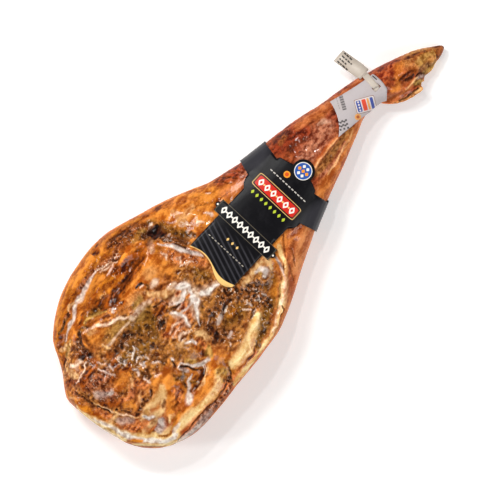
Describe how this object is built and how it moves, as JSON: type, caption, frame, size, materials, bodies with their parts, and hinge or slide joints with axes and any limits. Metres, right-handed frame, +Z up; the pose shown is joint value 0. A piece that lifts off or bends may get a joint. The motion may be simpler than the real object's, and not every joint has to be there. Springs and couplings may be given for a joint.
{
  "type": "cured ham",
  "caption": "Whole bone-in dry-cured shoulder ham with trotter, cut face up, in a die-cut card sleeve with a paper cuff and a strap tag at the wrist.",
  "frame": {"origin": "middle of the part's footprint, on the surface that it lies on", "axes": "+X along the ham from the butt end to the hoof tip, +Y to the left of that, +Z up out of the cut face"},
  "size_m": [0.66, 0.2584, 0.0922],
  "materials": {
    "cured_pork": "satin",
    "black_card": "satin",
    "white_paper": "matte",
    "tag_plastic": "matte"
  },
  "bodies": {
    "root": {"ham": "cured_pork", "sleeve_card": "black_card", "paper_cuff": "white_paper", "strap_tag": "tag_plastic"}
  },
  "joints": []
}
